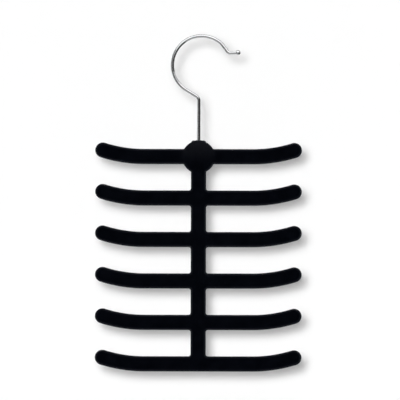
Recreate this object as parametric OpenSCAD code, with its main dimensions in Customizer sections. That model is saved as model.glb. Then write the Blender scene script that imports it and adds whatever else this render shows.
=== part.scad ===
// Flocked tie hanger on a swivelling wire hook.
//
// The hanger hangs from a rail, front towards -Y and up towards +Z. The origin is where the
// rail bears, under the top of the hook and on the swivel axis, so every height below it is
// negative. A slim moulded body carries the ties: a spine with crossbars that sweep up at
// their ends. It is two halves, welded face to face on the plane Y = 0, and the foot of the
// hook's shank is trapped between them in the round head, where it can turn.

/* [Crossbars] */
// Number of crossbars down the spine
bar_count = 6; // [2:1:8]
// Length of a crossbar from tip to tip
bar_length = 210; // [190:1:260]
// Height of a crossbar, seen from the front
bar_height = 15; // [12:0.5:20]
// Distance from one crossbar to the next
bar_pitch = 42.2; // [34:0.1:60]
// Straight stretch in the middle of a crossbar
bar_straight = 110; // [80:1:140]
// Radius of an arm's upward sweep, on its middle line
arm_radius = 143; // [120:1:300]

/* [Body] */
// Width of the spine
spine_width = 15; // [12:0.5:20]
// Thickness of the spine and the crossbars, front to back
body_thickness = 5; // [4.4:0.1:8]
// Rounding of the outer edges
edge_radius = 2; // [1:0.1:2.2]
// Rounding in the corners between a crossbar and the spine
fillet_radius = 2.5; // [1:0.1:5]
// How much slimmer an arm's round tip is than the arm, on each face
tip_step = 0.01; // [0.01:0.005:0.1]

/* [Inside the halves] */
// Plastic left over the hollow in each half
face_wall = 1.4; // [1:0.1:1.8]
// Plastic left beside the hollow
side_wall = 3; // [2.5:0.1:4]
// Length of solid plastic at each arm's tip
tip_solid = 12; // [11:0.5:20]
// Diameter of the locating pegs
peg_diameter = 3; // [2:0.1:4]
// Height of a peg above its half's welding face
peg_height = 1.3; // [0.8:0.1:1.5]
// Clearance round a peg, and past its end
peg_clearance = 0.1; // [0.05:0.01:0.2]

/* [Head] */
// Diameter of the round head
head_diameter = 33; // [28:0.5:40]
// Thickness of the head at its middle
head_thickness = 13; // [12:0.5:18]
// How far the head's centre lies below the first crossbar's middle line
head_drop = 0.45; // [0:0.05:3]
// Width of the neck that stands at the top of the head
neck_width = 13; // [11:0.5:16]
// Thickness of the neck, front to back
neck_thickness = 10; // [9:0.5:12]
// Rounding of the neck's upright edges
neck_rounding = 3; // [1:0.1:4]

/* [Swivel] */
// Outer diameter of the bush that lines the neck
bush_diameter = 6; // [5.4:0.1:7]
// How far the bush stands out of the neck
bush_proud = 0.8; // [0.3:0.1:2]
// Length of the bush that the neck holds
bush_grip = 8; // [6:0.5:9]
// Diameter of the flange under the bush
flange_diameter = 8; // [7.6:0.1:8.4]
// Thickness of that flange
flange_thickness = 1.2; // [0.8:0.1:1.6]
// Outer diameter of the thrust washer
washer_diameter = 7.6; // [7:0.1:8]
// Thickness of the thrust washer
washer_thickness = 0.8; // [0.5:0.1:1]
// Outer diameter of the retaining clip
clip_diameter = 6.4; // [6:0.1:7]
// Thickness of the retaining clip
clip_thickness = 0.6; // [0.5:0.05:0.8]
// Diameter of the shank in the clip's groove
groove_diameter = 2.3; // [2:0.1:2.6]
// Length of shank left below the groove
shank_foot = 1.2; // [0.8:0.1:1.6]
// Clearance round the turning shank, on the radius
running_clearance = 0.05; // [0.03:0.01:0.1]
// Clearance between the flange and the washer that turns under it
thrust_clearance = 0.05; // [0.03:0.01:0.2]
// Clearance round what lies in the head's pocket
pocket_clearance = 0.3; // [0.2:0.1:0.4]
// Clearance under the shank's foot
foot_clearance = 0.6; // [0.4:0.1:0.8]
// Width of the clip's mouth, as a share of the groove's diameter
mouth_share = 0.85; // [0.8:0.01:0.95]

/* [Hook] */
// Diameter of the hook's wire
wire_diameter = 3.6; // [3:0.1:3.9]
// Inner diameter of the hook, where the rail goes
hook_bore = 55.8; // [40:0.2:70]
// How far the hook's centre lies to the right of the swivel axis
hook_offset = 2.75; // [0:0.05:6]
// Height from the neck to the point where the shank's axis meets the slanting run
shank_reach = 43.9; // [30:0.1:80]
// Slope of the slanting run that leads from the shank into the hook
run_slope = 31.5; // [25:0.5:40]
// Radius of the bend at the top of the shank
shank_bend_radius = 5.5; // [4:0.1:7]
// Slope of the hook's curve where its tip starts to tighten
tighten_slope = 33.5; // [25:0.5:40]
// Radius of the tighter curve before the tip
tighten_radius = 17.3; // [10:0.1:29]
// Length of straight wire between the hook's curve and the tighter one
ease_length = 1; // [0.5:0.1:3]
// Slope of the straight run before the tip
nose_slope = 53; // [45:0.5:60]
// Length of that straight run
nose_length = 7.6; // [5:0.1:12]
// Radius of the bend that turns the tip outwards
tip_bend_radius = 3.6; // [2.5:0.1:5]
// Slope of the last stretch of wire
tip_slope = 1.5; // [0:0.5:10]
// Length of the last stretch, up to the middle of the ball
tip_length = 8; // [5:0.1:12]
// How much thinner the wire is in its bends, on the radius
bend_thinning = 0.01; // [0.01:0.005:0.05]
// Diameter of the ball on the tip
ball_diameter = 5.2; // [4.6:0.1:7]
// How far short of the ball's middle its socket ends
socket_stop = 0.6; // [0:0.1:1]

/* [Hidden] */
$fn = 96;

// Hook. Its points are [x, z], from the shank's foot to the ball.
wire_radius = wire_diameter / 2;
hook_radius = hook_bore / 2 + wire_radius;
hook_z = -sqrt(pow(hook_bore / 2, 2) - pow(hook_offset, 2));
// The slanting run touches the hook's circle at this point.
touch = [hook_offset - hook_radius * sin(run_slope), hook_z - hook_radius * cos(run_slope)];
corner_z = touch.y + touch.x * tan(run_slope);

// The body is drawn round the middle of its first crossbar: its levels are heights above that
// line, and body_z is the height of the line itself.
head_radius = head_diameter / 2;
head_y = -head_drop;
neck_y = head_y + head_radius;
body_z = corner_z - shank_reach - neck_y;
spine_length = (bar_count - 1) * bar_pitch;

// Sections of the two halves, each drawn lying on its welding face.
half_thickness = body_thickness / 2;
edge = min(edge_radius, half_thickness);
tip_x = bar_length / 2 - bar_height / 2;
arm_angle = asin((tip_x - bar_straight / 2) / arm_radius);
tip_rise = arm_radius * (1 - cos(arm_angle));
socket_diameter = peg_diameter + 2 * peg_clearance;
hollow_height = half_thickness - face_wall;
hollow_width = bar_height - 2 * side_wall;
hollow_start = head_radius + side_wall;
hollow_angle = arm_angle - (tip_solid - bar_height / 2) / arm_radius * 180 / PI;
// A fillet reaches this far under the bars it joins, past their rounded edges.
fillet_reach = fillet_radius + 1.5 * edge;

// Swivel levels, from the ceiling of the head's pocket downwards.
ceiling_y = neck_y - bush_grip;
flange_y = ceiling_y - flange_thickness;
washer_y = flange_y - thrust_clearance - washer_thickness;
clip_y = washer_y - clip_thickness;
foot_y = clip_y - shank_foot;
pocket_floor_y = foot_y - foot_clearance;
pocket_radius = max(flange_diameter, washer_diameter) / 2 + pocket_clearance;
bush_bore = wire_diameter + 2 * running_clearance;

// The dome of each half runs out to the crossbars' faces at the head's rim, and the rim's
// rounding touches it.
dome_height = head_thickness / 2;
dome_sag = dome_height - half_thickness;
dome_radius = (pow(head_radius, 2) + pow(dome_sag, 2)) / (2 * dome_sag);
rim_x = head_radius - edge;
rim_y = sqrt(pow(dome_radius - edge, 2) - pow(rim_x, 2)) - (dome_radius - dome_height);
rim_touch_x = rim_x * dome_radius / (dome_radius - edge);

// The wire's steps, from the foot up: [straight length, bend radius, turn], left turns positive.
bend_tangent = shank_bend_radius * tan((90 - run_slope) / 2);
wire_steps = [
    [corner_z - bend_tangent - body_z - foot_y, shank_bend_radius, 90 - run_slope],
    [touch.x / -cos(run_slope) - bend_tangent, hook_radius, -(180 - run_slope + tighten_slope)],
    [ease_length, tighten_radius, tighten_slope - nose_slope],
    [nose_length, tip_bend_radius, nose_slope + tip_slope]
];
// A bend reaches this far into the straight wire at either end.
bend_overlap = 0.2;
// What cuts a hole stands this far out at either end.
cut_margin = 1;

// A bar's half section: flat on its welding face, with its two upper edges rounded.
module bar_section(width, height = half_thickness) {
    intersection() {
        translate([-width / 2, 0])
            square([width, height]);
        union() {
            square([2 * (width / 2 - edge), 2 * height], center = true);
            square([width, 2 * (height - edge)], center = true);
            for (side = [-1, 1])
                translate([side * (width / 2 - edge), height - edge])
                    circle(edge);
        }
    }
}

// A plain section for the hollows, cut from the welding face.
module hollow_section() {
    translate([-hollow_width / 2, 0])
        square([hollow_width, hollow_height]);
}

// Carries a section along +X from start to end.
module along_x(start, end) {
    translate([start, 0, 0])
        rotate([90, 0, 90])
            linear_extrude(end - start)
                children();
}

// Carries a section up an arm's sweep, from the end of the straight stretch.
module along_arm(angle) {
    translate([bar_straight / 2, arm_radius, 0])
        rotate([0, 0, -90])
            rotate_extrude(angle = angle)
                translate([arm_radius, 0])
                    children();
}

// Repeats an arm's form on the left and the right.
module both_sides() {
    for (side = [0, 1])
        mirror([side, 0, 0])
            children();
}

// Places a form at each crossbar, counted from the top.
module each_bar() {
    for (i = [0 : bar_count - 1])
        translate([0, -i * bar_pitch, 0])
            children();
}

// Places a form midway between each crossbar and the next.
module each_gap() {
    for (i = [0 : bar_count - 2])
        translate([0, -(i + 0.5) * bar_pitch, 0])
            children();
}

module crossbar() {
    along_x(-bar_straight / 2, bar_straight / 2)
        bar_section(bar_height);
    both_sides() {
        along_arm(arm_angle)
            bar_section(bar_height);
        translate([tip_x, tip_rise, 0])
            rotate_extrude()
                intersection() {
                    bar_section(bar_height - 2 * tip_step, half_thickness - tip_step);
                    square(bar_height);
                }
    }
}

module crossbar_hollow() {
    both_sides() {
        along_x(hollow_start, bar_straight / 2)
            hollow_section();
        along_arm(hollow_angle)
            hollow_section();
    }
}

module spine() {
    rotate([90, 0, 0])
        linear_extrude(spine_length)
            bar_section(spine_width);
}

// The hollow in the spine between each crossbar and the next.
module spine_hollows() {
    width = spine_width - 2 * side_wall;
    length = bar_pitch - bar_height - 2 * side_wall;
    each_gap()
        translate([-width / 2, -length / 2, 0])
            cube([width, length, hollow_height]);
}

// Fills one inner corner at the origin, open towards +X and +Y, with the edge carried round it.
module corner_fillet() {
    translate([fillet_radius, fillet_radius, 0])
        rotate([0, 0, 180])
            rotate_extrude(angle = 90)
                intersection() {
                    translate([fillet_radius + fillet_reach, 0])
                        bar_section(2 * fillet_reach);
                    translate([fillet_radius, 0])
                        square([fillet_reach, half_thickness]);
                }
}

// The four corners next to the spine, between each crossbar and the next.
module corner_fillets() {
    each_gap()
        for (side = [0, 1], end = [0, 1])
            mirror([side, 0, 0])
                mirror([0, end, 0])
                    translate([spine_width / 2, (bar_height - bar_pitch) / 2, 0])
                        corner_fillet();
}

// The neck's section, with its two front edges rounded. Only its front half is used.
module neck_section() {
    x = neck_width / 2 - neck_rounding;
    y = neck_thickness / 2 - neck_rounding;
    square([2 * x, neck_thickness], center = true);
    square([neck_width, 2 * y], center = true);
    for (side = [-1, 1])
        translate([side * x, y])
            circle(neck_rounding);
}

// Half of the round head: a dome with a rounded rim, and the neck's half block at its top.
module head() {
    translate([0, head_y, 0])
        rotate_extrude() {
            intersection() {
                translate([0, dome_height - dome_radius])
                    circle(dome_radius);
                square([rim_touch_x, dome_height]);
            }
            intersection() {
                translate([rim_x, rim_y])
                    circle(edge);
                translate([rim_x, rim_y])
                    square(edge);
            }
            square([head_radius, rim_y]);
        }
    translate([0, neck_y, 0])
        rotate([90, 0, 0])
            linear_extrude(head_radius)
                intersection() {
                    translate([-neck_width / 2, 0])
                        square([neck_width, neck_thickness / 2]);
                    neck_section();
                }
}

// A round hole up the swivel axis between two heights.
module axial_hole(radius, bottom, top) {
    translate([0, bottom, 0])
        rotate([-90, 0, 0])
            cylinder(r = radius, h = top - bottom);
}

// Either half, lying on its welding face with its outside up.
module half_form() {
    difference() {
        union() {
            each_bar()
                crossbar();
            spine();
            corner_fillets();
            head();
        }
        each_bar()
            crossbar_hollow();
        spine_hollows();
        axial_hole(pocket_radius, pocket_floor_y, ceiling_y);
        axial_hole(bush_diameter / 2, ceiling_y, neck_y + bush_proud);
    }
}

// The places of the locating pegs: on the spine and in the arms' tips, at each crossbar.
module each_peg() {
    each_bar() {
        children();
        both_sides()
            translate([tip_x, tip_rise, 0])
                children();
    }
}

// A disc lying flat, with a round hole through it.
module ring(diameter, bore, thickness) {
    difference() {
        cylinder(d = diameter, h = thickness);
        through_hole(bore, thickness);
    }
}

// What cuts a round hole through a disc of this thickness.
module through_hole(bore, thickness) {
    translate([0, 0, -cut_margin])
        cylinder(d = bore, h = thickness + 2 * cut_margin);
}

// Turns a drawing on the XY plane upright, with what stands on it to the front.
module stand_up() {
    rotate([90, 0, 0])
        children();
}

// Moves what is drawn round the middle of the first crossbar to its place under the hook.
module at_body() {
    translate([0, 0, body_z])
        children();
}

module front_half() {
    color("#0b0c0f")
        at_body()
            stand_up() {
                half_form();
                each_peg()
                    translate([0, 0, -peg_height])
                        cylinder(d = peg_diameter, h = 2 * peg_height);
            }
}

module rear_half() {
    color("#101216")
        at_body()
            mirror([0, 1, 0])
                stand_up()
                    difference() {
                        half_form();
                        each_peg()
                            cylinder(d = socket_diameter, h = peg_height + peg_clearance);
                    }
}

module shank_bush() {
    color("#1c1d20")
        at_body()
            difference() {
                union() {
                    translate([0, 0, ceiling_y])
                        cylinder(d = bush_diameter, h = bush_grip + bush_proud);
                    translate([0, 0, flange_y])
                        cylinder(d = flange_diameter, h = flange_thickness);
                }
                translate([0, 0, flange_y])
                    through_hole(bush_bore, flange_thickness + bush_grip + bush_proud);
            }
}

module thrust_washer() {
    color("#b9bcc0")
        at_body()
            translate([0, 0, washer_y])
                ring(washer_diameter, bush_bore, washer_thickness);
}

// An open clip that snaps into the shank's groove from the right.
module retaining_clip() {
    mouth = mouth_share * groove_diameter;
    color("#8d9094")
        at_body()
            translate([0, 0, clip_y])
                difference() {
                    ring(clip_diameter, groove_diameter, clip_thickness);
                    translate([0, -mouth / 2, -cut_margin])
                        cube([clip_diameter, mouth, clip_thickness + 2 * cut_margin]);
                }
}

// Where step i of the wire starts: [x, z, heading]. A step is a straight run and then a bend.
function wire_start(i) =
    i == 0 ? [0, body_z + foot_y, 90] : step_end(wire_start(i - 1), wire_steps[i - 1]);
function heading_vector(heading) = [cos(heading), sin(heading)];
function left_of(heading) = [-sin(heading), cos(heading)];
function bend_centre(at, step) =
    [at.x, at.y] + step[0] * heading_vector(at[2]) + sign(step[2]) * step[1] * left_of(at[2]);
function step_end(at, step) =
    let (end = bend_centre(at, step) - sign(step[2]) * step[1] * left_of(at[2] + step[2]))
    [end.x, end.y, at[2] + step[2]];
tip_start = wire_start(len(wire_steps));

// A straight run of wire, lying in the drawing plane.
module wire_run(at, length) {
    translate([at.x, at.y, 0])
        rotate([0, 90, at[2]])
            cylinder(r = wire_radius, h = length);
}

// The bend that ends a step. Its ends reach a little way into the straight wire.
module wire_bend(at, step) {
    centre = bend_centre(at, step);
    overlap = bend_overlap / step[1] * 180 / PI;
    first_angle = at[2] - sign(step[2]) * 90 + min(step[2], 0) - overlap;
    translate([centre.x, centre.y, 0])
        rotate([0, 0, first_angle])
            rotate_extrude(angle = abs(step[2]) + 2 * overlap)
                translate([step[1], 0])
                    circle(wire_radius - bend_thinning);
}

module hook_wire() {
    color("#d9dcdf")
        difference() {
            stand_up() {
                for (i = [0 : len(wire_steps) - 1]) {
                    wire_run(wire_start(i), wire_steps[i][0]);
                    wire_bend(wire_start(i), wire_steps[i]);
                }
                wire_run(tip_start, tip_length - socket_stop);
            }
            at_body()
                translate([0, 0, clip_y])
                    ring(2 * wire_diameter, groove_diameter, clip_thickness);
        }
}

// The ball, pushed over the wire's end.
module hook_tip() {
    color("#d9dcdf")
        stand_up()
            translate([tip_start.x, tip_start.y, 0])
                rotate([0, 90, tip_start[2]])
                    translate([0, 0, tip_length])
                        difference() {
                            sphere(d = ball_diameter);
                            translate([0, 0, -ball_diameter])
                                cylinder(r = wire_radius, h = ball_diameter - socket_stop);
                        }
}

front_half();
rear_half();
shank_bush();
thrust_washer();
retaining_clip();
hook_wire();
hook_tip();
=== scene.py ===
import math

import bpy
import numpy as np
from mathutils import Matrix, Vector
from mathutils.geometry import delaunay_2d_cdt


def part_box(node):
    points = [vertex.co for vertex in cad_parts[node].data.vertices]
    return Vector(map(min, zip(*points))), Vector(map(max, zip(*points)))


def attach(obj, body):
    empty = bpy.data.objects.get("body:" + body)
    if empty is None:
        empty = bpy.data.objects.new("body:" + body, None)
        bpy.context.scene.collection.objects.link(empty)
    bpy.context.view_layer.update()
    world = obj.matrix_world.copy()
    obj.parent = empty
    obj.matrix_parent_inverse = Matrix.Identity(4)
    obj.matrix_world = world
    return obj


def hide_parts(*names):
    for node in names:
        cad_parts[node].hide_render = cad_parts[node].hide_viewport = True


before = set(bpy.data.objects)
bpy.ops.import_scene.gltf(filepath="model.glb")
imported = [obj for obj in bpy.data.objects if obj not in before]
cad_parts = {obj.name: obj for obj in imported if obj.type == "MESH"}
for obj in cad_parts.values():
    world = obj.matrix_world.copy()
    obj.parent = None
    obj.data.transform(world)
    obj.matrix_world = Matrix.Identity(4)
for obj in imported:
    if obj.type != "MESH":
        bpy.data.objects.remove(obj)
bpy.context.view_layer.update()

# %% [markdown]
# # A flocked tie hanger on a swivelling hook
#
# The object is a slim hanger for ties: a flat moulded body, covered with short black flock, that
# turns under a hook of chromed wire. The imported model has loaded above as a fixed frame, with the
# origin where the rail bears, +Z up and the front towards -Y. The cells below build a few helpers,
# dress one piece after another, and end with the room and the camera. The shapes are worked out
# with numpy, whole arrays at a time, and poured into meshes.

MM = 0.001

# %% [markdown]
# ## Paths made of runs and bends
#
# Bent wire and the outline of a moulding have something in common: both are straight runs joined
# by arcs, each leaving in the direction in which the last one arrived. So one helper serves both.
# A list of (length, turn) steps says everything, and a point at any distance along the path comes
# from one formula, which is the same for a run and for an arc.

# %% Walk along a path of runs and arcs
def run(length):
    """A straight step of a path."""
    return (length, 0.0)


def arc(radius, turn):
    """A curved step of a path: turn is in degrees, and a left turn is positive."""
    return (radius * math.radians(abs(turn)), math.radians(turn))


def trace(start, heading, steps, distance):
    """Points and headings at the given distances along a path on the XZ plane.

    A step of length L and turn T has curvature k = T / L. After t of it the path has turned by
    k t, and its chord has the length t sinc(k t / 2) and leaves at the heading h + k t / 2.
    """
    length, turn = np.array(steps, float).T
    curvature = turn / length
    headings = heading + np.concatenate([[0], np.cumsum(turn)])
    chord = length * np.sinc(turn / (2 * np.pi))
    aim = headings[:-1] + turn / 2
    corners = np.cumsum(np.vstack([start, np.c_[chord * np.cos(aim), chord * np.sin(aim)]]), 0)
    begins = np.concatenate([[0], np.cumsum(length)[:-1]])
    step = np.clip(np.searchsorted(begins, distance, side="right") - 1, 0, len(length) - 1)
    t = distance - begins[step]
    half_turn = curvature[step] * t / 2
    chord = t * np.sinc(half_turn / np.pi)
    aim = headings[step] + half_turn
    points = corners[step] + np.c_[chord * np.cos(aim), chord * np.sin(aim)]
    return points, headings[step] + 2 * half_turn


def stations(steps, spacing, bend_spacing):
    """Distances along a path, no further apart than spacing, or than bend_spacing degrees."""
    begins = np.concatenate([[0], np.cumsum([length for length, turn in steps])])
    counts = [math.ceil(max(length / spacing, abs(math.degrees(turn)) / bend_spacing))
              for length, turn in steps]
    return np.concatenate([np.linspace(a, b, n, endpoint=False)
                           for a, b, n in zip(begins, begins[1:], counts)])


def path_length(steps):
    """How long a path is from end to end."""
    return sum(length for length, turn in steps)


def left_of(headings):
    """Unit vectors to the left of the headings."""
    return np.c_[-np.sin(headings), np.cos(headings)]


half_circle, _ = trace((0, 0), 0.0, [arc(1, 180)], np.array([np.pi]))
print("A left half circle of radius 1 from (0, 0) ends at", np.round(half_circle[0], 6))

# %% [markdown]
# ## From arrays to meshes
#
# Nearly every surface here is a grid of rows that closes on itself: a ring round a wire, or the
# rows that carry an edge round the body. A grid's faces follow from its size alone, so one helper
# makes them, with fans that close the first and last rows at a pole where a piece needs them.

# %% Pour arrays into a mesh
def ring_faces(rows, columns):
    """Quads between neighbouring rows of a grid whose columns close round."""
    i, j = np.meshgrid(np.arange(rows - 1), np.arange(columns), indexing="ij")
    here, there = i * columns + j, i * columns + (j + 1) % columns
    return np.stack([here, there, there + columns, here + columns], -1).reshape(-1, 4)


def fan_faces(pole, first, columns, outward):
    """Triangles from a pole to the row that starts at vertex first."""
    j = np.arange(columns)
    a, b = first + j, first + (j + 1) % columns
    return np.stack([np.full(columns, pole), *((a, b) if outward else (b, a))], -1)


def make_piece(name, points, faces, material, smooth=None, uv=None):
    """A new object at the origin from an array of points and a list of arrays of faces."""
    mesh = bpy.data.meshes.new(name)
    mesh.from_pydata(points, [], [face for part in faces for face in part.tolist()])
    mesh.polygons.foreach_set("use_smooth", np.ones(len(mesh.polygons), bool) if smooth is None else smooth)
    if uv is not None:
        corner = np.zeros(len(mesh.loops), np.int32)
        mesh.loops.foreach_get("vertex_index", corner)
        mesh.uv_layers.new(name="UVMap").uv.foreach_set("vector", uv[corner].astype(np.float32).ravel())
    mesh.materials.append(material)
    mesh.validate()
    piece = bpy.data.objects.new(name, mesh)
    bpy.context.scene.collection.objects.link(piece)
    triangle_count = sum(len(face.vertices) - 2 for face in mesh.polygons)
    print(f"{name}: {len(mesh.vertices)} points, {triangle_count} triangles")
    return piece


def turned(profile, columns):
    """Rings about the Z axis: a row of the profile, (r, z), becomes (r cos a, r sin a, z).

    The first a is half a step round, which keeps the points off the plane Y = 0 of the weld.
    """
    angle = (np.arange(columns) + 0.5) * 2 * np.pi / columns
    radius, height = np.array(profile, float).T
    return np.stack([np.outer(radius, np.cos(angle)), np.outer(radius, np.sin(angle)),
                     np.repeat(height[:, None], columns, 1)], -1).reshape(-1, 3)


def closed_faces(rows, columns):
    """Faces of a grid of rings with a fan at either end, whose two poles follow the grid."""
    count = rows * columns
    return [ring_faces(rows, columns), fan_faces(count, 0, columns, False),
            fan_faces(count + 1, count - columns, columns, True)]


# %% [markdown]
# ## Node groups that several finishes share
#
# No real surface is one even colour. Two effects come back in every finish here: a soft mottling
# between two colours, and a fine relief. Each is built once as a node group with named inputs, and
# each material places it with its own scale and colours. Both read Object coordinates, which are
# metres on the piece itself, so the patterns stay on it when it swings round. Two helpers keep the
# building short: one opens a group, and one adds a node with its settings.

# %% Open groups and add nodes
def new_group(name, inputs, outputs):
    """An empty node group with named inputs and outputs, and the two nodes that stand for them."""
    group = bpy.data.node_groups.new(name, "ShaderNodeTree")
    for label, kind, value in inputs:
        socket = group.interface.new_socket(label, in_out="INPUT", socket_type=f"NodeSocket{kind}")
        socket.default_value = value
    for label, kind in outputs:
        group.interface.new_socket(label, in_out="OUTPUT", socket_type=f"NodeSocket{kind}")
    return group, group.nodes.new("NodeGroupInput"), group.nodes.new("NodeGroupOutput")


def node(tree, kind, values=None, **settings):
    """A new node with some settings and some input values, ready to link."""
    made = tree.nodes.new(f"ShaderNode{kind}")
    for key, value in settings.items():
        setattr(made, key, value)
    for key, value in (values or {}).items():
        made.inputs[key].default_value = value
    return made


# %% [markdown]
# ## Mottling
#
# Dye, flock and plating lie a little thicker here and thinner there. One noise picks between two
# colours in soft patches, and a much finer one makes specks. A third colour, painted light, takes
# over where a finish asks for it: how much is left to the finish, which can read it from the mesh.

# %% Build the mottling
def mottling_group():
    """Noise at one scale picks between two colours, and where the painted light input is 1 its colour
    replaces it.

    Noise at a finer scale, from 0 to 1, multiplies the result by 1 + strength (noise - 0.5).
    """
    group, given, result = new_group(
        "Mottling",
        [("Colour A", "Color", (0, 0, 0, 1)), ("Colour B", "Color", (1, 1, 1, 1)),
         ("Patches per metre", "Float", 60.0), ("Specks per metre", "Float", 2500.0),
         ("Speck strength", "Float", 0.2), ("Painted light", "Float", 0.0),
         ("Painted light colour", "Color", (1, 1, 1, 1))],
        [("Colour", "Color")])
    link = group.links.new
    place = node(group, "TexCoord")
    patches = node(group, "TexNoise", {"Detail": 3.0, "Roughness": 0.55})
    specks = node(group, "TexNoise", {"Detail": 1.0})
    mix = node(group, "Mix", data_type="RGBA")
    spread = node(group, "MapRange", {"From Min": 0.35, "From Max": 0.65})
    centred = node(group, "Math", {1: 0.5}, operation="SUBTRACT")
    strong = node(group, "Math", {2: 1.0}, operation="MULTIPLY_ADD")
    painted_light_mix = node(group, "Mix", data_type="RGBA")
    speckled = node(group, "VectorMath", operation="SCALE")
    link(place.outputs["Object"], patches.inputs["Vector"])
    link(place.outputs["Object"], specks.inputs["Vector"])
    link(given.outputs["Patches per metre"], patches.inputs["Scale"])
    link(given.outputs["Specks per metre"], specks.inputs["Scale"])
    link(patches.outputs["Fac"], spread.inputs["Value"])
    link(spread.outputs["Result"], mix.inputs["Factor"])
    link(given.outputs["Colour A"], mix.inputs["A"])
    link(given.outputs["Colour B"], mix.inputs["B"])
    link(specks.outputs["Fac"], centred.inputs[0])
    link(centred.outputs[0], strong.inputs[0])
    link(given.outputs["Speck strength"], strong.inputs[1])
    # The third colour is painted light, laid over the mix where a finish asks for it.
    link(given.outputs["Painted light"], painted_light_mix.inputs["Factor"])
    link(mix.outputs["Result"], painted_light_mix.inputs["A"])
    link(given.outputs["Painted light colour"], painted_light_mix.inputs["B"])
    link(painted_light_mix.outputs["Result"], speckled.inputs["Vector"])
    link(strong.outputs[0], speckled.inputs["Scale"])
    link(speckled.outputs["Vector"], result.inputs["Colour"])
    return group


MOTTLING = mottling_group()
print(f"{MOTTLING.name}: {len(MOTTLING.nodes)} nodes")

# %% [markdown]
# ## Fine relief
#
# The relief has two scales as well: a coarse one for the lie of the nap or the ripple of the
# plating, and a fine one for the fibres or the grain. The group only gives a height from 0 to 1.
# Each finish says what that is in metres, as the distance of its Bump node.

# %% Build the relief
def relief_group():
    """Two scales of noise, weighed and added, as a height from about 0 to 1."""
    group, given, result = new_group(
        "Fine relief",
        [("Coarse per metre", "Float", 300.0), ("Fine per metre", "Float", 3000.0),
         ("Share of fine", "Float", 0.5)],
        [("Height", "Float")])
    link = group.links.new
    place = node(group, "TexCoord")
    coarse = node(group, "TexNoise", {"Detail": 2.0})
    fine = node(group, "TexNoise", {"Detail": 2.0})
    mix = node(group, "Mix", data_type="FLOAT")
    link(place.outputs["Object"], coarse.inputs["Vector"])
    link(place.outputs["Object"], fine.inputs["Vector"])
    link(given.outputs["Coarse per metre"], coarse.inputs["Scale"])
    link(given.outputs["Fine per metre"], fine.inputs["Scale"])
    link(given.outputs["Share of fine"], mix.inputs["Factor"])
    link(coarse.outputs["Fac"], mix.inputs["A"])
    link(fine.outputs["Fac"], mix.inputs["B"])
    link(mix.outputs["Result"], result.inputs["Height"])
    return group


RELIEF = relief_group()
print(f"{RELIEF.name}: {len(RELIEF.nodes)} nodes")

# %% [markdown]
# ## A base for every finish
#
# Flock, chrome, nylon and plated steel differ in their numbers more than in their build: each is one
# Principled shader whose colour comes from the mottling and whose normal comes from the relief,
# through a Bump node. So one helper builds that base, and each finish adds only what is its own.

# %% Build a finish on the two groups
def new_finish(name, constants, mottling, relief, bump):
    """A material whose shader has constants, with the two groups feeding its colour and normal.

    Returns the material, its shader and its mottling node, for what a finish adds of its own.
    """
    material = bpy.data.materials.new(name)
    material.use_nodes = True
    tree = material.node_tree
    shader = tree.nodes["Principled BSDF"]
    for label, value in constants.items():
        shader.inputs[label].default_value = value
    colour = node(tree, "Group", node_tree=MOTTLING)
    height = node(tree, "Group", node_tree=RELIEF)
    raised = node(tree, "Bump", bump)
    for label, value in mottling.items():
        colour.inputs[label].default_value = value
    for label, value in relief.items():
        height.inputs[label].default_value = value
    tree.links.new(colour.outputs["Colour"], shader.inputs["Base Color"])
    tree.links.new(height.outputs["Height"], raised.inputs["Height"])
    tree.links.new(raised.outputs["Normal"], shader.inputs["Normal"])
    print(f"{name}: one shader with {len(constants)} constants of its own")
    return material, shader, colour


# %% [markdown]
# ## Flock
#
# Flock is a coat of fibres half a millimetre long that stand on end in glue. Seen along the fibres
# it swallows light, and seen from the side it glows a little, which is why such a hanger looks
# flat black with paler rims. A rough, dark base with a little sheen gives the black. The paler rims
# and the top of the domed head, which faces the light from above, are painted light: a shade greyer
# colour in the flock. Each point of the piece carries how much, in an attribute that the finish
# reads.

# %% Mix the flock
# The third colour, a shade greyer, is painted light: sheen at the rims and top light on the crown.
flock, _, flock_colour = new_finish(
    "Black flock",
    {"Roughness": 1.0, "Specular IOR Level": 0.02, "Sheen Weight": 0.10, "Sheen Roughness": 0.42,
     "Sheen Tint": (0.6, 0.75, 1.0, 1.0)},
    {"Colour A": (0.0006, 0.0009, 0.0020, 1), "Colour B": (0.0014, 0.0018, 0.0032, 1),
     "Patches per metre": 90.0, "Specks per metre": 1600.0, "Speck strength": 1.2,
     "Painted light colour": (0.0120, 0.0128, 0.0162, 1)},
    {"Coarse per metre": 420.0, "Fine per metre": 2400.0, "Share of fine": 0.6},
    {"Strength": 0.35, "Distance": 0.0006})
# The attribute says where the painted light goes.
painted_light = node(flock.node_tree, "Attribute", attribute_name="painted_light")
flock.node_tree.links.new(painted_light.outputs["Fac"], flock_colour.inputs["Painted light"])

# %% [markdown]
# ## The body's outline
#
# The body is a flat form with one outline: down the spine, out along each crossbar, round its tip
# and back. Modelling it as six bars, a spine and a disc would leave creases where they cross,
# which flock would bury. So the outline is walked once, anticlockwise seen from the front, as runs
# and arcs. Its sizes come first. The heights of the top bar and the head follow from the frame's
# box, and the bend of the arms from their straight part and their reach.

# %% Write down the outline's sizes
BAR_COUNT = 6
BAR_LENGTH = 210 * MM
BAR_HEIGHT = 15 * MM
BAR_PITCH = 42.2 * MM
BAR_STRAIGHT = 110 * MM
ARM_RADIUS = 143 * MM
SPINE_WIDTH = 15 * MM
CORNER_RADIUS = 2.5 * MM
HEAD_RADIUS = 16.6 * MM
HEAD_DROP = 0.35 * MM
HEAD_CORNER = 1.5 * MM
SHOULDER_WIDTH = 14.9 * MM
SHOULDER_HOLLOW = 1.2 * MM
SHOULDER_ROUND = 2.3 * MM

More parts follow.
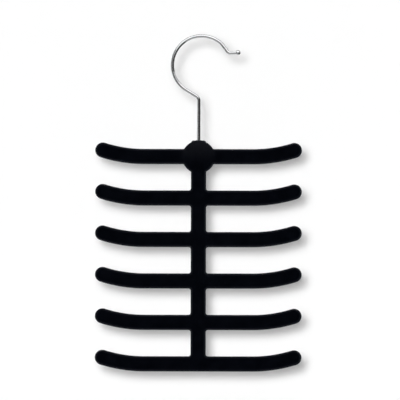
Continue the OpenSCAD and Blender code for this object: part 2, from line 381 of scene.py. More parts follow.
body_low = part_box("front_half")[0]
half_bar = BAR_HEIGHT / 2
half_spine = SPINE_WIDTH / 2
bar_z = body_low.z + (BAR_COUNT - 1) * BAR_PITCH + half_bar
head_z = bar_z - HEAD_DROP
tip_x = BAR_LENGTH / 2 - half_bar
arm_angle = math.degrees(math.asin((tip_x - BAR_STRAIGHT / 2) / ARM_RADIUS))
print(f"Top bar at {bar_z / MM:.1f} mm, head at {head_z / MM:.1f} mm, arms bent by {arm_angle:.1f} degrees")

# %% [markdown]
# ## Round the head
#
# The head is a circle that the spine, the top bar and the neck run into. A small fillet softens
# each of these corners. Circles that touch keep a known distance between their centres, so
# Pythagoras and the cosine rule say where every fillet begins and ends.

# %% Join spine, bar and neck to the head
def corner_with_head(side, offset):
    """Where a fillet of HEAD_CORNER, outside the head's circle, touches a line at a given offset.

    Its centre is HEAD_CORNER outside both. Returns how far along the line the centre lies, and
    the angle of the touching point on the circle, measured from the line's direction.
    """
    across = offset + HEAD_CORNER
    along = math.sqrt((HEAD_RADIUS + HEAD_CORNER) ** 2 - across ** 2)
    return along, math.degrees(math.atan2(across, along)) * side


def neck_steps(start_angle):
    """From the head's circle up a hollow and round a shoulder to the neck's flat top.

    The head's centre, the hollow's and the shoulder's make a triangle whose sides are known: each
    pair of circles touches. The cosine rule gives where the hollow leaves the head's circle.
    """
    shoulder = np.array([SHOULDER_WIDTH / 2 - SHOULDER_ROUND, HEAD_RADIUS - SHOULDER_ROUND])
    to_hollow = HEAD_RADIUS + SHOULDER_HOLLOW
    to_shoulder = np.hypot(*shoulder)
    between = SHOULDER_HOLLOW + SHOULDER_ROUND
    cosine = (to_hollow ** 2 + to_shoulder ** 2 - between ** 2) / (2 * to_hollow * to_shoulder)
    end = math.atan2(shoulder[1], shoulder[0]) - math.acos(cosine)
    hollow = to_hollow * np.array([math.cos(end), math.sin(end)])
    meet = math.degrees(math.atan2(*(hollow - shoulder)[::-1]))
    end = math.degrees(end)
    return [
        arc(HEAD_RADIUS, end - start_angle),
        arc(SHOULDER_HOLLOW, meet - end),
        arc(SHOULDER_ROUND, 90 - meet),
        run(shoulder[0]),
    ]


print(f"The spine's fillet leaves the head {corner_with_head(1, half_spine)[1]:.1f} degrees off the spine")

# %% [markdown]
# ## Up the right side
#
# From the bottom of the spine the walk goes out and back along one bar after another, with a
# rounded corner at either end of each gap. The top bar is another matter, because it meets the
# head above and below. After it the walk ends in the middle of the neck's top.

# %% Walk up the right side
def bar_steps(lower_start, upper_end):
    """A crossbar's right arm: out along its lower edge, round the tip and back along the upper."""
    return [
        run(BAR_STRAIGHT / 2 - lower_start),
        arc(ARM_RADIUS + half_bar, arm_angle),
        arc(half_bar, 180),
        arc(ARM_RADIUS - half_bar, -arm_angle),
        run(BAR_STRAIGHT / 2 - upper_end),
    ]


def right_half_steps():
    """The outline from the bottom of the spine to the top of the neck, up the right side."""
    inner = half_spine + CORNER_RADIUS
    gap = BAR_PITCH - BAR_HEIGHT - 2 * CORNER_RADIUS
    steps = bar_steps(0, inner)
    for i in range(BAR_COUNT - 2):
        steps += [arc(CORNER_RADIUS, -90), run(gap), arc(CORNER_RADIUS, -90)]
        steps += bar_steps(inner, inner)
    spine_along, spine_angle = corner_with_head(1, half_spine)
    below_along, below_angle = corner_with_head(-1, half_bar - HEAD_DROP)
    above_along, above_angle = corner_with_head(1, half_bar + HEAD_DROP)
    below_spine = spine_angle - 90
    last_run = BAR_PITCH - half_bar - CORNER_RADIUS - HEAD_DROP - spine_along
    steps += [arc(CORNER_RADIUS, -90), run(last_run), arc(HEAD_CORNER, below_spine)]
    steps += [arc(HEAD_RADIUS, below_angle - below_spine), arc(HEAD_CORNER, -90 - below_angle)]
    steps += bar_steps(below_along, above_along)
    return steps + [arc(HEAD_CORNER, above_angle - 90)] + neck_steps(above_angle)


right_half = right_half_steps()
print(f"Right side: {len(right_half)} steps, {path_length(right_half) / MM:.0f} mm long")

# %% [markdown]
# ## Closing the outline
#
# The left side is the right side's steps in reverse order. The walk can only end where it began if
# the right side has led exactly to the middle line, in exactly half a turn. So the distance
# between the two ends is a good test of all the runs and angles.

# %% Close the outline
outline = right_half + right_half[::-1]
outline_start = (0, body_low.z)
closing, last_heading = trace(outline_start, 0.0, outline, np.array([path_length(outline)]))
gap = np.hypot(*(closing[0] - outline_start))
print(f"Outline: {path_length(outline) / MM:.0f} mm long, closes to {gap / MM:.4f} mm,",
      f"after turning {math.degrees(last_heading[0]):.1f} degrees")

# %% [markdown]
# ## The two flocked halves
#
# The body is two mouldings welded face to face, each with its edges rounded over. For either half
# the height of the surface above the weld is a function of the place on the plan: a flat plate, a
# dome over the head and a thicker neck, joined softly as flock joins them, less the drop of the
# rounded edge. Rows of points carry that edge round the outline, and a Delaunay triangulation
# fills the plan inside them. The weld face has the same faces, laid flat.

# %% Height of the flocked surface
PLATE = 2.5 * MM
EDGE_RADIUS = 2 * MM
DOME_HEIGHT = 6.5 * MM
NECK_WIDTH = 13 * MM
NECK_HEIGHT = 5 * MM
NECK_ROUNDING = 3 * MM
PILE = 0.22 * MM
# The crown's painted top light: a greyer flock where the domed head faces the light from above.
CROWN_START = -8 * MM
CROWN_FADE = 2 * MM
CROWN_PAINTED_LIGHT = 0.64
CROWN_POWER = 1.5
SOFTENING = 0.25 * MM
UNEVENNESS = 0.035 * MM
# Each wave's two slopes, in radians a metre, and its phase.
WAVES = [(310, 170, 0.3), (-240, 520, 1.9), (730, 90, 4.1), (150, -880, 2.6), (960, 610, 5.3)]
dome_sag = DOME_HEIGHT - PLATE
dome_radius = (HEAD_RADIUS ** 2 + dome_sag ** 2) / (2 * dome_sag)


def soft_max(a, b):
    """The larger of a and b, with the crease between them rounded over SOFTENING."""
    return (a + b + np.sqrt((a - b) ** 2 + SOFTENING ** 2)) / 2


def wobble(x, z):
    """Slow waves of a few millimetres and up, as the pile's length varies: a sum of sines."""
    return UNEVENNESS * sum(np.sin(a * x + b * z + c) for a, b, c in WAVES) / len(WAVES)


def coat_height(plan):
    """Half the body's thickness at points (x, z), before the edge is rounded over.

    The dome is part of a sphere: sqrt(R^2 - r^2) less the depth of its centre. The neck is flat
    across its middle, with quarter rounds of NECK_ROUNDING at its sides.
    """
    x, z = plan.T
    square = x ** 2 + (z - head_z) ** 2
    dome = np.sqrt(np.maximum(dome_radius ** 2 - square, 0)) - (dome_radius - DOME_HEIGHT)
    beyond = np.maximum(np.abs(x) - (NECK_WIDTH / 2 - NECK_ROUNDING), 0)
    neck = NECK_HEIGHT - NECK_ROUNDING + np.sqrt(np.maximum(NECK_ROUNDING ** 2 - beyond ** 2, 0))
    neck = np.where(z > head_z, neck, 0)
    return soft_max(soft_max(PLATE, dome), neck) + wobble(x, z)


def painted_crown_light(plan):
    """Painted top light on the head, as a greyer flock: it grows from CROWN_START up to the head's top."""
    x, z = plan.T
    rise = np.clip((z - head_z - CROWN_START) / (HEAD_RADIUS - CROWN_START), 0, 1)
    across = np.clip((HEAD_RADIUS + CROWN_FADE - np.abs(x)) / (2 * CROWN_FADE), 0, 1)
    return CROWN_PAINTED_LIGHT * rise ** CROWN_POWER * across


print(f"The dome is part of a sphere of radius {dome_radius / MM:.1f} mm")

# %% [markdown]
# ## A net of points over the plan
#
# A flat form with so many arms has no natural grid. Its edge gets points along the outline, closer
# together where it bends, and its inside gets an even triangular grid. Joining them all by hand
# would be endless: a Delaunay triangulation does it, and is told to keep the inner loop whole.

# %% Place the points of the plan
EDGE_SPACING = 1.3 * MM
EDGE_BEND = 9
INSIDE_SPACING = 1.7 * MM
CLEAR_OF_EDGE = 0.6 * INSIDE_SPACING
BATCHES = 40
INSIDE_ONLY = 1
NEAREST = 1e-6


def inside_points(loop, spacing, clearance):
    """Points of a triangular grid inside a closed loop, and further from its points than clearance.

    A point is inside where a ray from it crosses the loop an odd number of times. The grid is
    taken in batches, because each is compared with the whole loop at once.
    """
    low, high = loop.min(0), loop.max(0)
    z = np.arange(low[1], high[1], spacing * math.sqrt(3) / 2)
    x = np.arange(low[0], high[0], spacing)
    grid_x, grid_z = np.meshgrid(x, z)
    grid_x[1::2] += spacing / 2
    grid = np.c_[grid_x.ravel(), grid_z.ravel()]
    after = np.roll(loop, -1, 0)
    kept = []
    for part in np.array_split(grid, BATCHES):
        px, pz = part[:, :1], part[:, 1:]
        spans = (loop[:, 1] > pz) != (after[:, 1] > pz)
        rise = np.where(after[:, 1] == loop[:, 1], 1, after[:, 1] - loop[:, 1])
        crossing = loop[:, 0] + (pz - loop[:, 1]) * (after[:, 0] - loop[:, 0]) / rise
        odd = (spans & (px < crossing)).sum(1) % 2 == 1
        clear = np.hypot(px - loop[:, 0], pz - loop[:, 1]).min(1) > clearance
        kept.append(part[odd & clear])
    return np.vstack(kept)


at = stations(outline, EDGE_SPACING, EDGE_BEND)
edge_points, edge_headings = trace(outline_start, 0.0, outline, at)
inward = left_of(edge_headings)
inner_loop = edge_points + inward * EDGE_RADIUS
filling = inside_points(inner_loop, INSIDE_SPACING, CLEAR_OF_EDGE)
flat = np.vstack([inner_loop, filling])
rim = len(inner_loop)
around = np.arange(rim)
border = np.c_[around, (around + 1) % rim]
filled = delaunay_2d_cdt((flat / MM).tolist(), border.tolist(), [], INSIDE_ONLY, NEAREST)
assert len(filled[0]) == len(flat), "the triangulation added points"
triangles = np.array(filled[2])
print(f"Plan: {rim} points round the edge, {len(filling)} inside, {len(triangles)} triangles")

# %% [markdown]
# ## From the plan to a closed half
#
# Each half is built like a pillow: a face over the plan, a flat back on the weld, and rows of
# points that carry the rounded edge between them. Both halves use the same net, so their seam
# matches point for point. A shallow step at the weld shows as the fine line of a real seam.

# %% Raise each half from its plan
SEAM_DEPTH = 0.12 * MM
ROUND_ROWS = 7


def flocked_half(name, side):
    """One half of the body: side is -1 for the front and 1 for the rear.

    The pile stands PILE out over the moulding's sides, so the edge is a quarter round of radius
    R = EDGE_RADIUS + PILE. Each of its rows lies R (1 - cos a) inside that, and the surface there
    is R (1 - sin a) below the coat's height, with a from 0 at the side to a right angle. Two rows
    below them set the seam in by SEAM_DEPTH, and the first row of all lies on the weld face.
    Painted light, a greyer flock colour for sheen, is sqrt(cos a) along the edge, and the crown's painted
    top light where that is more.
    """
    a = np.linspace(0, np.pi / 2, ROUND_ROWS)
    radius = EDGE_RADIUS + PILE
    seam_inset = [EDGE_RADIUS, SEAM_DEPTH - PILE, -PILE]
    seam_height = np.array([0, 0, SEAM_DEPTH])
    inset = np.concatenate([seam_inset, EDGE_RADIUS - radius * np.cos(a)])
    plan = edge_points + inset[:, None, None] * inward
    drop = radius * (1 - np.sin(a))
    round_height = np.array([coat_height(row) for row in plan[len(seam_inset):]]) - drop[:, None]
    height = np.vstack([np.repeat(seam_height[:, None], rim, 1), round_height])
    rows = np.stack([plan[..., 0], side * height, plan[..., 1]], -1)
    middle = np.c_[filling[:, 0], side * coat_height(filling), filling[:, 1]]
    weld = middle * [1, 0, 1]
    points = np.vstack([rows.reshape(-1, 3), middle, weld])
    # The first and the last row are the inner loop at the weld and on the face.
    count = rows.shape[0] * rim
    face = np.where(triangles < rim, triangles + count - rim, triangles - rim + count)
    back = np.where(triangles < rim, triangles, triangles - rim + count + len(middle))
    band = ring_faces(rows.shape[0], rim)
    faces = [band, face, back[:, ::-1]]
    if side > 0:
        faces = [part[:, ::-1] for part in faces]
    smooth = np.concatenate([np.arange(len(band)) >= rim, np.ones(len(face)), np.zeros(len(back))])
    half = make_piece(name, points, faces, flock, smooth.astype(bool))
    # Painted light: sheen along the rounded edge and top light on the crown, as a greyer colour.
    painted_rim_sheen = np.concatenate([[0, 1, 1], np.sqrt(np.maximum(np.cos(a), 0))])[:, None]
    painted_light_share = np.maximum(painted_rim_sheen, [painted_crown_light(row) for row in plan])
    painted_light_values = np.concatenate([painted_light_share.ravel(), painted_crown_light(filling), np.zeros(len(filling))])
    half.data.attributes.new("painted_light", "FLOAT", "POINT").data.foreach_set("value", painted_light_values)
    return half


halves = [flocked_half("front_flock", -1), flocked_half("rear_flock", 1)]
for half, node_name in zip(halves, ["front_half", "rear_half"]):
    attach(half, "hanger")
    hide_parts(node_name)

# %% [markdown]
# ## Chromed wire
#
# The hook is one piece of hard wire, straightened, bent cold and then plated. Chromium is a bluish
# metal that reflects only about two thirds of the light, and plated wire still shows faint lines
# along its length from the drawing die, so its gloss isn't that of a mirror. The lines have to
# follow the wire round its bends, so they read the piece's own UV map, with U along the wire.

# %% Mix the chrome
CHROME_DARK = (0.72, 0.735, 0.745, 1)
CHROME_PALE = (0.82, 0.83, 0.83, 1)
DRAW_LINES = 870.0
DRAW_BREAKS = 12.0
SMOOTHEST = 0.07
ROUGHEST = 0.17


def chrome_finish():
    """Plated steel, with die lines in its roughness and cloudy patches in its colour.

    The lines take the place of the constant roughness, which is their mean.
    """
    material, shader, _ = new_finish(
        "Chromed wire",
        {"Metallic": 1.0, "Roughness": (SMOOTHEST + ROUGHEST) / 2},
        {"Colour A": CHROME_DARK, "Colour B": CHROME_PALE, "Patches per metre": 110.0,
         "Specks per metre": 4000.0, "Speck strength": 0.05},
        {"Coarse per metre": 260.0, "Fine per metre": 1800.0, "Share of fine": 0.3},
        {"Strength": 0.06, "Distance": 0.0003})
    tree = material.node_tree
    place = node(tree, "TexCoord")
    stretch = node(tree, "Mapping", {"Scale": (DRAW_BREAKS, DRAW_LINES, 1.0)})
    lines = node(tree, "TexNoise", {"Scale": 1.0, "Detail": 3.0})
    gloss = node(tree, "MapRange", {"From Min": 0.3, "From Max": 0.7,
                                    "To Min": SMOOTHEST, "To Max": ROUGHEST})
    tree.links.new(place.outputs["UV"], stretch.inputs["Vector"])
    tree.links.new(stretch.outputs["Vector"], lines.inputs["Vector"])
    tree.links.new(lines.outputs["Fac"], gloss.inputs["Value"])
    tree.links.new(gloss.outputs["Result"], shader.inputs["Roughness"])
    return material


chrome = chrome_finish()

# %% [markdown]
# ## The hook
#
# From its foot inside the head the wire runs straight up, bends over to the left, sweeps round the
# rail's circle, tightens, and runs down to a short level end that carries a ball. These are the
# same steps as the bender's, so the path helper draws the middle line and a ring is carried along
# it. Near the foot the ring shrinks into the groove that holds the retaining clip.

# %% Lay out the hook
WIRE_RADIUS = 1.8 * MM
HOOK_BORE = 55.8 * MM
HOOK_OFFSET = 2.75 * MM
RUN_SLOPE = 31.5
SHANK_BEND = 5.5 * MM
TIGHTEN_SLOPE = 33.5
TIGHTEN_RADIUS = 17.3 * MM
EASE_LENGTH = 1 * MM
NOSE_SLOPE = 53
NOSE_LENGTH = 7.6 * MM
TIP_BEND = 3.6 * MM
TIP_SLOPE = 1.5
TIP_LENGTH = 8 * MM
BALL_RADIUS = 2.6 * MM
SOCKET_STOP = 0.6 * MM
GROOVE_RADIUS = 1.15 * MM
FOOT_CHAMFER = 0.3 * MM
RING_COLUMNS = 40
RING_SPACING = 1.5 * MM
RING_BEND = 3

hook_radius = HOOK_BORE / 2 + WIRE_RADIUS
hook_z = -math.sqrt((HOOK_BORE / 2) ** 2 - HOOK_OFFSET ** 2)
slope = math.radians(RUN_SLOPE)
touch_x = HOOK_OFFSET - hook_radius * math.sin(slope)
touch_z = hook_z - hook_radius * math.cos(slope)
corner_z = touch_z + touch_x * math.tan(slope)
bend_tangent = SHANK_BEND * math.tan((math.pi / 2 - slope) / 2)
foot_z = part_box("hook_wire")[0].z
hook_steps = [
    run(corner_z - bend_tangent - foot_z),
    arc(SHANK_BEND, 90 - RUN_SLOPE),
    run(-touch_x / math.cos(slope) - bend_tangent),
    arc(hook_radius, -(180 - RUN_SLOPE + TIGHTEN_SLOPE)),
    run(EASE_LENGTH),
    arc(TIGHTEN_RADIUS, TIGHTEN_SLOPE - NOSE_SLOPE),
    run(NOSE_LENGTH),
    arc(TIP_BEND, NOSE_SLOPE + TIP_SLOPE),
    run(TIP_LENGTH),
]
hook_start = (0, foot_z)
ball_centre, ball_heading = trace(hook_start, np.pi / 2, hook_steps, np.array([path_length(hook_steps)]))
print(f"Wire: {path_length(hook_steps) / MM:.0f} mm long, ball at",
      np.round(ball_centre[0] / MM, 2), "mm")

# %% [markdown]
# ## From the middle line to a wire
#
# A bevelled curve would make a tube too, but it keeps one thickness from end to end. A ring of
# points at each station can change its radius, as the chamfered foot and the clip's groove need,
# and it gives the UV map at the same time: metres along the wire, and metres round it.

# %% Carry a ring along the wire
def wire_piece():
    """The wire: at distance s a ring p(s) + r(s) (cos a n - sin a Y), n to the left of the path.

    Its UV map holds metres: along the wire, and round it from the side that faces the rail, the
    same way on either side so that the map has no seam.
    """
    clip_low, clip_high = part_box("retaining_clip")
    low, high = clip_low.z - foot_z, clip_high.z - foot_z
    end = path_length(hook_steps) - SOCKET_STOP
    foot_s = [0, FOOT_CHAMFER, low, low, high, high]
    foot_r = [WIRE_RADIUS - FOOT_CHAMFER, WIRE_RADIUS, WIRE_RADIUS, GROOVE_RADIUS, GROOVE_RADIUS,
              WIRE_RADIUS]
    even = stations(hook_steps, RING_SPACING, RING_BEND)
    even = even[(even > high + RING_SPACING / 2) & (even < end)]
    s = np.concatenate([foot_s, even, [end]])
    r = np.concatenate([foot_r, np.full(len(even) + 1, WIRE_RADIUS)])
    middle, headings = trace(hook_start, np.pi / 2, hook_steps, s)
    left = left_of(headings)
    angle = np.linspace(0, 2 * np.pi, RING_COLUMNS, endpoint=False)
    reach = r[:, None] * np.cos(angle)
    points = np.stack([middle[:, :1] + left[:, :1] * reach, -r[:, None] * np.sin(angle),
                       middle[:, 1:] + left[:, 1:] * reach], -1).reshape(-1, 3)
    ends = middle[[0, -1]]
    points = np.vstack([points, np.c_[ends[:, 0], [0, 0], ends[:, 1]]])
    uv = np.stack(np.broadcast_arrays(s[:, None], WIRE_RADIUS * np.abs(angle - np.pi)), -1)
    uv = np.vstack([uv.reshape(-1, 2), [[0, 0], [end, 0]]])
    return make_piece("bent_hook", points, closed_faces(len(s), RING_COLUMNS), chrome, uv=uv)


hook = wire_piece()
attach(hook, "hook")
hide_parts("hook_wire")

# %% [markdown]
# ## The ball
#
# A bare wire end would catch on cloth, so a small ball closes it. It is pushed over the end and
# plated with the wire. It is a surface of revolution about the wire's own direction, so it is
# turned about the Z axis first, and its Z axis is then laid along the wire.

# %% Turn the ball and lay it along the wire
COLLAR = 0.15 * MM
MOUTH_MARGIN = 0.02
BALL_ROWS = 28
BALL_COLUMNS = 48


def ball_piece():
    """The circle (R sin a, -R cos a), from a little wider than the wire to the far pole.

    It starts MOUTH_MARGIN radians past the wire's own side. A collar as wide stands COLLAR out of
    its near side, round the wire. A point (x, y, z) of the turned form goes to
    centre + x left + y across + z along.
    """
    mouth = math.asin(WIRE_RADIUS / BALL_RADIUS) + MOUTH_MARGIN
    a = np.linspace(mouth, np.pi, BALL_ROWS)[:-1]
    circle = np.c_[BALL_RADIUS * np.sin(a), -BALL_RADIUS * np.cos(a)]
    profile = np.vstack([circle[:1] - [0, COLLAR], circle])
    poles = [[0, 0, profile[0, 1]], [0, 0, BALL_RADIUS]]
    upright = np.vstack([turned(profile, BALL_COLUMNS), poles])
    heading = ball_heading[0]
    along = np.array([np.cos(heading), 0, np.sin(heading)])
    left = np.array([-np.sin(heading), 0, np.cos(heading)])
    centre = np.array([ball_centre[0, 0], 0, ball_centre[0, 1]])
    points = centre + upright @ np.stack([left, np.cross(along, left), along])
    return make_piece("hook_ball", points, closed_faces(len(profile), BALL_COLUMNS), chrome)


ball = ball_piece()
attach(ball, "hook")
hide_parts("hook_tip")

# %% [markdown]
# ## Nylon and plated steel
#
# The parts of the swivel are small turned and stamped pieces. The bush is black nylon, a little
# shiny from the mould. The washer and the clip are steel with a thin coat of zinc, which is duller
# and greyer than chromium. They lie inside the head, where no view reaches, so their CAD shapes
# stay and only get this finish.

# %% Mix nylon and steel, and finish the washer and the clip
nylon, *_ = new_finish(
    "Black nylon",
    {"Roughness": 0.42, "Specular IOR Level": 0.4},
    {"Colour A": (0.010, 0.011, 0.013, 1), "Colour B": (0.016, 0.017, 0.020, 1),
     "Patches per metre": 500.0, "Specks per metre": 6000.0, "Speck strength": 0.3},
    {"Coarse per metre": 900.0, "Fine per metre": 5000.0, "Share of fine": 0.5},
    {"Strength": 0.15, "Distance": 0.0002})
steel, *_ = new_finish(
    "Zinc plated steel",
    {"Metallic": 1.0, "Roughness": 0.38},
    {"Colour A": (0.42, 0.43, 0.45, 1), "Colour B": (0.56, 0.56, 0.57, 1),
     "Patches per metre": 700.0, "Specks per metre": 9000.0, "Speck strength": 0.25},
    {"Coarse per metre": 1200.0, "Fine per metre": 7000.0, "Share of fine": 0.6},
    {"Strength": 0.2, "Distance": 0.0001})
for name in ("thrust_washer", "retaining_clip"):
    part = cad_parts[name]
    part.data.materials.clear()
    part.data.materials.append(steel)
    print(f"{name}: CAD shape kept, in {steel.name.lower()}")

# %% [markdown]
# ## The bush
#
# Only the bush's lip shows, where it stands out of the neck round the shank. It is still made
# whole, as a turner would: one closed profile, from the flange that keeps it in the head up to the
# rounded lip and back down the bore, is turned about the wire.

# %% Turn the bush
FLANGE_RADIUS = 4 * MM
FLANGE_THICKNESS = 1.2 * MM
SLEEVE_RADIUS = 3 * MM
RUNNING_CLEARANCE = 0.05 * MM
LIP_ROUNDING = 0.35 * MM
LIP_ROWS = 6
BORE_CHAMFER = 0.15 * MM
BUSH_COLUMNS = 48


def bush_piece():
    """The bush, turned from one closed profile: up the flange and the sleeve, and down the bore.

    The lip at its top is the quarter circle of LIP_ROUNDING that starts at the sleeve's side. Only
    the sleeve and the lip are smooth, from the flange's last point on.
    """
    low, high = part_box("shank_bush")
    bore = WIRE_RADIUS + RUNNING_CLEARANCE
    shoulder = low.z + FLANGE_THICKNESS
    flange = [[bore, low.z], [FLANGE_RADIUS, low.z], [FLANGE_RADIUS, shoulder], [SLEEVE_RADIUS, shoulder]]
    a = np.linspace(0, np.pi / 2, LIP_ROWS)
    lip = np.c_[SLEEVE_RADIUS - LIP_ROUNDING * (1 - np.cos(a)), high.z - LIP_ROUNDING * (1 - np.sin(a))]
    mouth = [[bore + BORE_CHAMFER, high.z], [bore, high.z - BORE_CHAMFER]]
    profile = np.vstack([flange, lip, mouth])
    points = turned(profile, BUSH_COLUMNS)
    band = ring_faces(len(profile) + 1, BUSH_COLUMNS) % len(points)
    row = np.arange(len(band)) // BUSH_COLUMNS
    smooth = (row >= len(flange) - 1) & (row < len(flange) + len(lip))
    return make_piece("neck_bush", points, [band], nylon, smooth)


bush = bush_piece()
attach(bush, "hanger")
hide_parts("shank_bush")

# %% [markdown]
# ## Room for the swivel
#
# The two halves are solid so far, and the washer, the clip and the shank's foot would stand in
# them and cut through as the hanger turns. The real head has a pocket there, with a bore above it
# that grips the bush. Its form is turned too, and a Boolean modifier cuts it out of both halves.

# %% Hollow the halves round the swivel
POCKET_RADIUS = 4.3 * MM
POCKET_BELOW = 0.6 * MM
BORE_RADIUS = 3.02 * MM
BORE_ABOVE = 1 * MM


def hollow_out(pieces):
    """Cuts the turned form of the pocket, and of the bore above it, out of the pieces."""
    low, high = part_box("shank_bush")
    ceiling, top = low.z + FLANGE_THICKNESS, high.z + BORE_ABOVE
    floor = foot_z - POCKET_BELOW
    profile = [[POCKET_RADIUS, floor], [POCKET_RADIUS, ceiling], [BORE_RADIUS, ceiling], [BORE_RADIUS, top]]
    points = np.vstack([turned(profile, BUSH_COLUMNS), [[0, 0, floor], [0, 0, top]]])
    cutter = make_piece("cutter", points, closed_faces(len(profile), BUSH_COLUMNS), flock)
    for piece in pieces:
        cut = piece.modifiers.new("Pocket", "BOOLEAN")
        cut.solver = "EXACT"
        cut.object = cutter
        result = piece.evaluated_get(bpy.context.evaluated_depsgraph_get())
        mesh = bpy.data.meshes.new_from_object(result)
        piece.modifiers.clear()
        piece.data = mesh
        print(f"{piece.name}: {len(mesh.vertices)} points with its pocket")
    bpy.data.objects.remove(cutter)


hollow_out(halves)

# %% [markdown]
# ## White paper
#
# The photograph is a plain product shot on white, with the shadow falling a little to the lower
# right. The paper is a light grey, and a weak glow lifts it to white. Only the camera and the
# chrome see that glow: it lights nothing, and as it is added to what the lamps give, it also sets
# how deep the shadow looks.

# %% Mix the paper
PAPER = 0.75
WALL_GLOW = 0.23
FLOOR_GLOW = 0.75


def seen_or_mirrored(tree):
    """Light Path's answer to: is this ray the camera's, or one through glass or off a gloss?"""
    path = node(tree, "LightPath")
    seen = node(tree, "Math", operation="MAXIMUM")
    either = node(tree, "Math", operation="MAXIMUM")
    tree.links.new(path.outputs["Is Camera Ray"], seen.inputs[0])
    tree.links.new(path.outputs["Is Glossy Ray"], seen.inputs[1])
    tree.links.new(seen.outputs[0], either.inputs[0])
    tree.links.new(path.outputs["Is Transmission Ray"], either.inputs[1])
    return either.outputs[0]


def paper_finish():
    """White paper that lifts itself to white for the camera, and is clear from behind.

    The suns graze the floor, so it gets a stronger glow than the wall: the upward part of the
    surface's own normal picks the strength between the two.
    """
    material = bpy.data.materials.new("White paper")
    material.use_nodes = True
    tree = material.node_tree
    tree.nodes.clear()
    link = tree.links.new
    matte = node(tree, "BsdfDiffuse", {"Color": (PAPER, PAPER, PAPER, 1)})
    glow = node(tree, "Emission")
    surface = node(tree, "NewGeometry")
    parts = node(tree, "SeparateXYZ")
    strength = node(tree, "MapRange", {"To Min": WALL_GLOW, "To Max": FLOOR_GLOW})
    lifted = node(tree, "AddShader")
    front = node(tree, "MixShader")
    clear = node(tree, "BsdfTransparent")
    whole = node(tree, "MixShader")
    end = node(tree, "OutputMaterial")
    link(surface.outputs["Normal"], parts.inputs["Vector"])
    link(parts.outputs["Z"], strength.inputs["Value"])
    link(strength.outputs["Result"], glow.inputs["Strength"])
    link(matte.outputs[0], lifted.inputs[0])
    link(glow.outputs[0], lifted.inputs[1])
    link(seen_or_mirrored(tree), front.inputs[0])
    link(matte.outputs[0], front.inputs[1])
    link(lifted.outputs[0], front.inputs[2])
    link(surface.outputs["Backfacing"], whole.inputs[0])
    link(front.outputs[0], whole.inputs[1])
    link(clear.outputs[0], whole.inputs[2])
    link(whole.outputs[0], end.inputs["Surface"])
    return material


paper = paper_finish()
print(f"{paper.name}: {PAPER} of the light comes back, plus a glow of {WALL_GLOW} to {FLOOR_GLOW}")

# %% [markdown]
# ## Hanging the sheet
#
# The sheet hangs behind the hanger, far enough away for it to turn right round. Well below the
# picture it curves forward into a floor, without a crease, so that a view from above ends on white
# too. From behind it is clear, so that the back of the hanger can be looked at.

# %% Hang the sheet
PAPER_BEHIND = 0.125
FLOOR_BELOW = 1.2
COVE = 0.06
COVE_POINTS = 24
SHEET_HALF_WIDTH = 2.5
SHEET_TOP = 2.2
SHEET_FRONT = 3.0


def paper_sheet():
    """One sheet: the floor, a quarter round of radius COVE, and the wall, from side to side."""
    floor_z = body_low.z - FLOOR_BELOW
    bend = np.linspace(0, np.pi / 2, COVE_POINTS)
    cove = np.c_[PAPER_BEHIND - COVE * (1 - np.sin(bend)), floor_z + COVE * (1 - np.cos(bend))]
    line = np.vstack([[-SHEET_FRONT, floor_z], cove, [PAPER_BEHIND, SHEET_TOP]])
    left = np.c_[np.full(len(line), -SHEET_HALF_WIDTH), line]
    i = np.arange(len(line) - 1)
    faces = np.stack([i, i + len(line), i + len(line) + 1, i + 1], -1)
    return make_piece("paper_sheet", np.vstack([left, left * [-1, 1, 1]]), [faces], paper)


paper_sheet()

# %% [markdown]
# ## Lamps
#
# The shadow is shifted by only a few millimetres, so the lamps stand almost behind the camera. It
# has a firm core and a soft fringe, which a single round lamp can't give: a narrow sun and a wide
# one share the work. A shift on the paper, divided by the paper's distance, is the slope of the
# light. A wide fill from above, without a shadow, brings out the domed head. The room itself is
# white where it is seen, and dim where it only lights, or it would wash the shadow out. Together
# they light a face turned to the camera so that a colour shows about as it is written: a sun of E
# W/m2 gives such a face E cos(angle) / pi, and the sum should be about 1.

# %% Set the lamps
def sun(name, across, down, strength, width, shadow=True):
    """A sun that shines towards +Y, turned by two slopes: to the right, and down.

    Returns the share of the plain level that it gives a face turned to the camera.
    """
    aim = Vector((across, 1, -down))
    lamp = bpy.data.objects.new(name, bpy.data.lights.new(name, "SUN"))
    lamp.data.energy = strength
    lamp.data.angle = math.radians(width)
    lamp.data.use_shadow = shadow
    lamp.visible_glossy = False
    lamp.rotation_euler = aim.to_track_quat("-Z", "Y").to_euler()
    bpy.context.scene.collection.objects.link(lamp)
    return strength * aim.normalized().y / math.pi


KEY_SHIFT = np.array([6.1, 6.8]) * MM
WIDE_SHIFT = np.array([5.4, 5.7]) * MM
FILL_SLOPES = (0.25, 1.6)
shares = [
    sun("Key sun", *KEY_SHIFT / PAPER_BEHIND, strength=0.645, width=3.3),
    sun("Wide sun", *WIDE_SHIFT / PAPER_BEHIND, strength=2.11, width=7.5),
    sun("Top fill", *FILL_SLOPES, strength=0.25, width=40, shadow=False),
]

# %% Light the room evenly
WORLD_LIGHT = 0.06


def world_light(strength):
    """A white world: full strength where it is seen or mirrored, less where it only lights."""
    world = bpy.data.worlds.new("White room")
    world.use_nodes = True
    tree = world.node_tree
    back = tree.nodes["Background"]
    back.inputs["Color"].default_value = (1, 1, 1, 1)
    level = node(tree, "MapRange", {"To Min": strength, "To Max": 1.0})
    tree.links.new(seen_or_mirrored(tree), level.inputs["Value"])
    tree.links.new(level.outputs["Result"], back.inputs["Strength"])
    bpy.context.scene.world = world


world_light(WORLD_LIGHT)
print(f"Light on a face turned to the camera: {sum(shares) + WORLD_LIGHT:.2f} of the plain level")

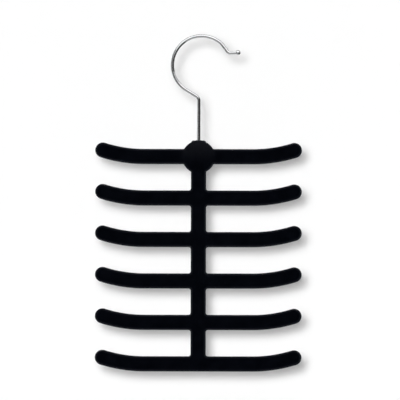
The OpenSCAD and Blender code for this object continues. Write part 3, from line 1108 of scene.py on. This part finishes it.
# %% [markdown]
# ## Cards for the chrome
#
# In an all-white room chromed wire turns white too. A photographer sets cards round such a piece,
# just outside the picture, and the wire's form shows by their reflections: dark ones to the left,
# to the right, behind and round the camera, grey ones below and high on the right, and a bright
# one overhead. These cards are only seen in reflections: they shade nothing, and the camera
# doesn't see them. Their corners are in metres, and a level of 1 is white.

# %% Set the cards
def card(name, low, high, level):
    """A flat rectangle between two corners, of one brightness, for reflections alone."""
    material = bpy.data.materials.new(name)
    material.use_nodes = True
    tree = material.node_tree
    tree.nodes.clear()
    glow = node(tree, "Emission", {"Strength": level})
    tree.links.new(glow.outputs[0], node(tree, "OutputMaterial").inputs["Surface"])
    low, high = np.array(low), np.array(high)
    first, second = [np.where(np.arange(3) == i, high - low, 0) for i in np.flatnonzero(high - low)]
    corners = low + np.array([0 * first, first, first + second, second])
    made = make_piece(name, corners, [np.array([[0, 1, 2, 3]])], material)
    made.visible_camera = made.visible_diffuse = made.visible_shadow = False
    made.visible_transmission = False


card("card_right", (0.12, -0.35, -0.20), (0.12, 0.12, 0.0), 0.04)
card("card_high", (0.45, -0.60, 0.0), (0.45, 0.12, 0.90), 0.55)
card("card_left", (-0.20, -0.35, -0.25), (-0.20, -0.02, 0.10), 0.11)
card("card_front", (-0.30, -0.60, -0.45), (0.30, -0.60, 0.02), 0.13)
card("card_below", (-0.40, -0.60, -0.41), (0.40, 0.05, -0.41), 0.45)
card("card_behind", (-0.40, 0.10, 0.03), (0.50, 0.10, 0.90), 0.10)
card("card_top", (-0.40, -0.50, 0.30), (0.50, 0.05, 0.30), 1.4)

# %% [markdown]
# ## The camera
#
# The catalogue picture was taken from far away, straight from the front: bars near its edges show
# neither their tops nor their ends. An orthographic camera is that view from infinitely far. Its
# scale comes from one measure, the millimetres that one pixel of the picture stands for, and its
# place from two: the columns and rows where the shank and the hook's centre are seen.

# %% Stand the camera in front
PIXEL = 1.018 * MM
FRAME_PIXELS = 400
SHANK_PIXEL = 198.5
HOOK_CENTRE_PIXEL = 65.2
CAMERA_DISTANCE = 2.2
ROLL = -0.15

camera_data = bpy.data.cameras.new("Camera")
camera_data.type = "ORTHO"
camera_data.ortho_scale = FRAME_PIXELS * PIXEL
camera_data.clip_end = 10
camera = bpy.data.objects.new("Camera", camera_data)
bpy.context.scene.collection.objects.link(camera)
camera.location = (
    (FRAME_PIXELS / 2 - SHANK_PIXEL) * PIXEL,
    -CAMERA_DISTANCE,
    hook_z - (FRAME_PIXELS / 2 - HOOK_CENTRE_PIXEL) * PIXEL,
)
camera.rotation_euler = (math.radians(90), math.radians(ROLL), 0)
bpy.context.scene.camera = camera
bpy.context.scene.view_settings.view_transform = "Standard"
print("The picture is", round(camera_data.ortho_scale / MM), "mm wide")
